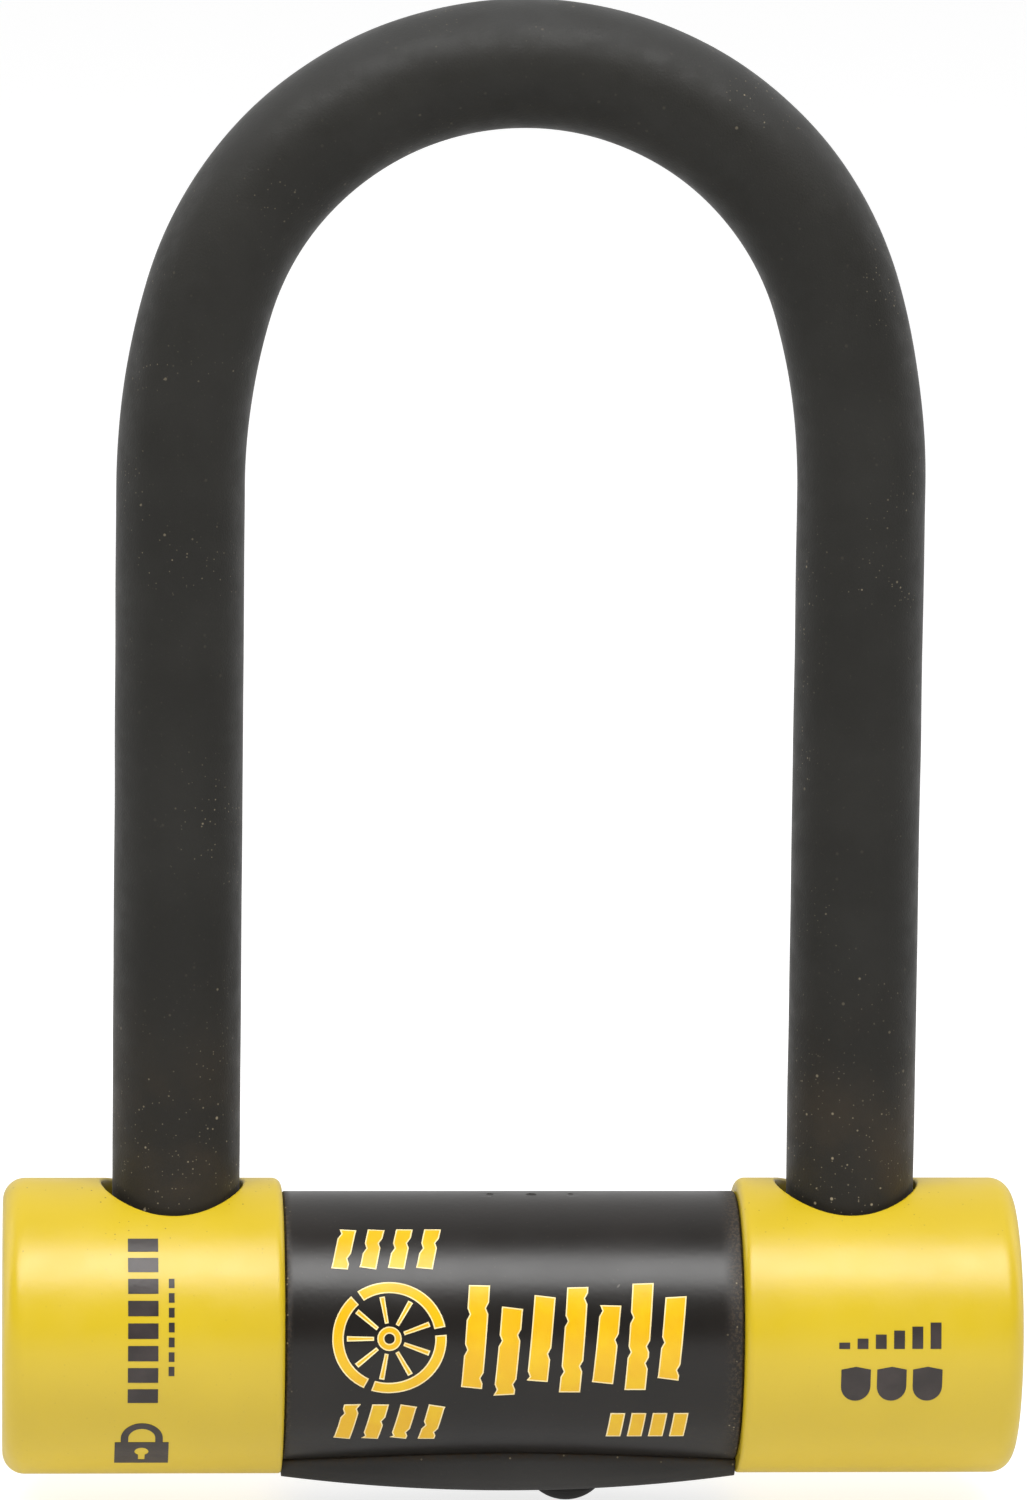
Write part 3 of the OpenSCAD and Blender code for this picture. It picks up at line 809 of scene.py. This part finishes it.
def make_housing(material):
    """The keyway housing: cross-sections along the crossbar, then its openings."""
    stations = 96
    bm = bmesh.new()
    rings = []
    for i in range(stations + 1):
        x = HOUSING_HALF * (2 * i / stations - 1)
        rings.append(add_ring(bm, [Vector((x, y, z)) for y, z in housing_section(x)]))
    skin(bm, rings)
    housing = new_object("housing", bm, material)
    for cutter in housing_cutters():
        cut(housing, cutter)
    smooth(housing)
    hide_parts("lock_housing")
    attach(housing, "crossbar")


def stadium(x0, x1, section):
    """A slot-shaped prism from (height, half width) pairs; its ends are round about x0 and x1."""
    steps = 24
    turns = [math.pi * (k / steps - 0.5) for k in range(steps + 1)]
    bm = bmesh.new()
    rings = []
    for z, r in section:
        points = [(x1 + r * math.cos(a), r * math.sin(a)) for a in turns]
        points += [(x0 - r * math.cos(a), -r * math.sin(a)) for a in turns]
        rings.append(add_ring(bm, [Vector((x, y, z)) for x, y in points]))
    skin(bm, rings)
    return bm


def opening(radius):
    """Section of an opening in the housing's underside, with a chamfered mouth."""
    return [(HOUSING_LOW - MM, radius + OPENING_CHAMFER + MM), (HOUSING_LOW + OPENING_CHAMFER, radius),
            (HOUSING_LOW + 5 * MM, radius)]


def housing_cutters():
    """What is cut out of the housing, one solid after another."""
    yield solid("pocket", box(POCKET_SIZE, POCKET_X, HOUSING_LOW + POCKET_FLOOR))
    yield solid("bore", upright(0, [(z, CYLINDER_ROOM_R) for z in (AXIS_Z - CYLINDER_ROOM_DEPTH, AXIS_Z)]))
    yield solid("keyhole", upright(0, opening(MOUTH_R)))
    yield solid("slot", stadium(NUB_X, NUB_X + COVER_TRAVEL, opening(SLOT_HALF)))


def make_cover(material):
    """Dust cover: a thin plate inside the housing, a neck, and the domed nub outside."""
    steps = 12
    top = HOUSING_LOW - NUB_GAP
    bevel = 0.25 * MM
    section = [(0.0, 0.05 * MM)]
    reach = math.asin(NUB_R / DOME_R)
    for k in range(1, steps + 1):
        angle = reach * k / steps
        section.append((DOME_R * (1 - math.cos(angle)), DOME_R * math.sin(angle)))
    side_low = section[-1][0]
    section += [(side_low + 0.15 * MM, NUB_R + 0.02 * MM), (top - bevel, NUB_R), (top, NUB_R - bevel)]
    section += [(top, NECK_R), (HOUSING_LOW + PLATE_FLOOR + 0.1 * MM, NECK_R)]
    cover = new_object("cover_nub", upright(NUB_X, section), material)
    plate = box(PLATE_SIZE, PLATE_X, HOUSING_LOW + PLATE_FLOOR)
    bmesh.ops.bevel(plate, geom=plate.edges[:], offset=0.2 * MM, segments=2, affect="EDGES")
    flap = new_object("cover_plate", plate, material)
    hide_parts("dust_cover")
    for piece in (cover, flap):
        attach(piece, "cover")


# ---- Printed graphics ----

def decal(name, outlines, radius, material, edge_material=None):
    """Thin ink on a cylinder round the crossbar's axis, with an edge of another colour if one is given.

    Outlines are in (along X, up round the front from its middle) and wrap onto the cylinder."""
    bm = bmesh.new()
    for outline in outlines:
        bm.faces.new([bm.verts.new((x, 0, s)) for x, s in outline])
    bmesh.ops.remove_doubles(bm, verts=bm.verts[:], dist=0.001 * MM)
    bmesh.ops.recalc_face_normals(bm, faces=bm.faces[:])
    if edge_material:
        edge = bmesh.ops.inset_region(bm, faces=bm.faces[:], thickness=INK_EDGE,
                                      use_boundary=True, use_even_offset=True)
        for face in edge["faces"]:
            face.material_index = 1
    low = min(v.co.z for v in bm.verts)
    high = max(v.co.z for v in bm.verts)
    for k in range(1, int((high - low) / INK_ROW) + 1):
        bmesh.ops.bisect_plane(bm, geom=bm.verts[:] + bm.edges[:] + bm.faces[:], dist=1e-8,
                               plane_co=(0, 0, low + k * INK_ROW), plane_no=(0, 0, 1))
    bmesh.ops.recalc_face_normals(bm, faces=bm.faces[:])
    extruded = bmesh.ops.extrude_face_region(bm, geom=bm.faces[:], use_keep_orig=True)
    raised = {v for v in extruded["geom"] if isinstance(v, bmesh.types.BMVert)}
    for v in bm.verts:
        reach = radius + (INK_HEIGHT if v in raised else -INK_ROOT)
        angle = v.co.z / radius
        v.co = Vector((v.co.x, -reach * math.cos(angle), AXIS_Z + reach * math.sin(angle)))
    piece = new_object(name, bm, material, 60)
    if edge_material:
        piece.data.materials.append(edge_material)
    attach(piece, "crossbar")


def scaled(points):
    """Points given in mm, in metres."""
    return [(x * MM, y * MM) for x, y in points]


def band(cx, cy, outer, inner, start, end, steps):
    """A band of a ring, between two angles in degrees, as a row of quads."""
    out = scaled(arc((cx, cy), outer, start, end, steps))
    back = scaled(arc((cx, cy), inner, start, end, steps))
    return [[out[k], out[k + 1], back[k + 1], back[k]] for k in range(steps)]


def slanted(x, low, high, width, lean):
    """A bar whose top stands off to the side by its lean."""
    return scaled([(x, low), (x + width, low), (x + width + lean, high), (x + lean, high)])


def worn_bar(x, low, high, width, lean, seed):
    """A slanted bar with slightly uneven ends and a few sharp nicks in its sides."""
    dice = random.Random(seed)
    nick = 0.42
    steps = max(4, round((high - low) / 0.9))
    nicks = {"left": dice.sample(range(1, steps, 3), max(1, steps // 8)),
             "right": dice.sample(range(2, steps, 3), max(1, steps // 8))}
    right, left = [], []
    for k in range(steps + 1):
        t = k / steps
        y = low + (high - low) * t
        right.append((x + width + lean * t - (nick if k in nicks["right"] else 0.0), y))
        left.append((x + lean * t + (nick if k in nicks["left"] else 0.0), y))
    right[-1] = (right[-1][0], high + dice.uniform(-0.5, 0.2))
    left[0] = (left[0][0], low + dice.uniform(-0.2, 0.5))
    return scaled(right + left[::-1])


def wheel(cx, cy, outer):
    """A spoked wheel with a rim in three parts and a ring for a hub."""
    rim = outer * 0.8
    spoke = ((2.4, -0.3), (rim - 0.5, -0.42), (rim - 0.5, 0.42), (2.4, 0.3))
    pieces = []
    for start in (12, 132, 252):
        pieces += band(cx, cy, outer, rim, start, start + 112, 20)
    for k in range(9):
        turn = math.radians(k * 40 + 20)
        c, s = math.cos(turn), math.sin(turn)
        pieces.append(scaled([(cx + c * r - s * w, cy + s * r + c * w) for r, w in spoke]))
    return pieces + band(cx, cy, 1.9, 0.8, 0, 360, 24)


def padlock(cx, cy, size):
    """A padlock sign with a keyhole; size is the width of its body, cy its top."""
    half, low = size / 2, cy - size * 0.75
    hole_y, hole_r, slit = cy - size * 0.3, size * 0.13, size * 0.06
    left = [(cx, low), (cx, cy - size * 0.6), (cx - slit, cy - size * 0.6)]
    left += arc((cx, hole_y), hole_r, 242, 90, 12)
    left += [(cx, cy), (cx - half, cy), (cx - half, low)]
    right = [(2 * cx - x, y) for x, y in left]
    shoulder = cy + size * 0.12
    pieces = [scaled(left), scaled(right)] + band(cx, shoulder, half * 0.78, half * 0.5, 0, 180, 20)
    for inner, outer in ((cx - half * 0.78, cx - half * 0.5), (cx + half * 0.5, cx + half * 0.78)):
        pieces.append(scaled([(inner, cy), (outer, cy), (outer, shoulder), (inner, shoulder)]))
    return pieces


def shield(cx, cy, size):
    """A plain shield sign."""
    half = size / 2
    sides = [(cx - half, cy + half), (cx, cy + half * 1.2), (cx + half, cy + half)]
    curve = [(cx + half * math.cos(a), cy - half * 0.2 - half * 1.1 * math.sin(a)) for a in
             (math.pi * k / 16 for k in range(17))]
    return scaled(sides + curve)


def make_prints(yellow_ink, cream_ink, black_ink):
    """Generic signs: a wheel and worn bars on the barrel, lock signs and level bars on the caps."""
    barrel = wheel(-19.6, 2.6, 8.9)
    barrel += [worn_bar(-28.6 + k * 4.4, 13.6, 21.2, 2.6, 1.5, 10 + k) for k in range(4)]
    barrel += [worn_bar(-28.0 + k * 4.4, -16.2, -8.4, 2.6, 1.5, 20 + k) for k in range(4)]
    spans = ((-5.6, 11.0), (-6.6, 7.6), (-4.4, 9.4), (-6.2, 10.6), (-4.8, 7.8), (-5.8, 11.2), (-4.2, 9.0))
    for k, (low, high) in enumerate(spans):
        barrel.append(worn_bar(-8.4 + k * 5.1, low, high, 3.3, 1.2, 30 + k))
    barrel += [slanted(14.6 + k * 3.3, -15.6, -10.2, 2.3, 0.5) for k in range(4)]
    decal("barrel_print", barrel, BARREL_R, yellow_ink, cream_ink)
    left = padlock(-57.9, -15.6, 8.4)
    left += [slanted(-60.2, y, y + 2.4, 4.7, 0.0) for y in (17.1, 13.6, 10.1, 6.6, 3.1, -0.4, -3.9, -7.4)]
    left += [slanted(-53.9, y, y + 1.5, 0.9, 0.0) for y in (11.0, 8.7, 6.4, 4.1, 1.8, -0.5, -2.8)]
    decal("left_cap_print", left, CAP_R, black_ink)
    right = [slanted(50.3 + k * 2.85, 1.4, 2.4 + 0.62 * k, 1.7, 0.0) for k in range(6)]
    right += [shield(53.0 + k * 5.6, -4.2, 4.6) for k in range(3)]
    decal("right_cap_print", right, CAP_R, black_ink)


# ---- Building ----

make_camera()
make_studio()
inside = {
    "machined_steel": metal("machined_steel", (0.56, 0.57, 0.58, 1), 0.32),
    "brass": metal("brass", (0.72, 0.52, 0.24, 1), 0.3),
    "bolt_steel": metal("bolt_steel", (0.5, 0.5, 0.5, 1), 0.25, (0.1, 1, 1)),
    "blackened_steel": blackened_steel(),
    "rubber": rubber(),
}
for part in frame["record"]["subparts"]:
    if part["material_slot"] in inside:
        for socket in frame["nodes"][part["node"]].material_slots:
            socket.material = inside[part["material_slot"]]

yellow = cap_plastic()
make_sleeve(vinyl())
make_cap("left_cap_shell", -1, yellow)
make_cap("right_cap_shell", 1, yellow)
make_barrel(barrel_plastic())
make_housing(housing_plastic())
make_cover(shaded_cover_plastic())
make_prints(
    ink("yellow_ink", linear(226, 182, 8), linear(222, 172, 6)),
    ink("cream_ink", linear(242, 224, 170), linear(234, 210, 150)),
    ink("black_ink", linear(60, 52, 50), linear(48, 42, 40)))
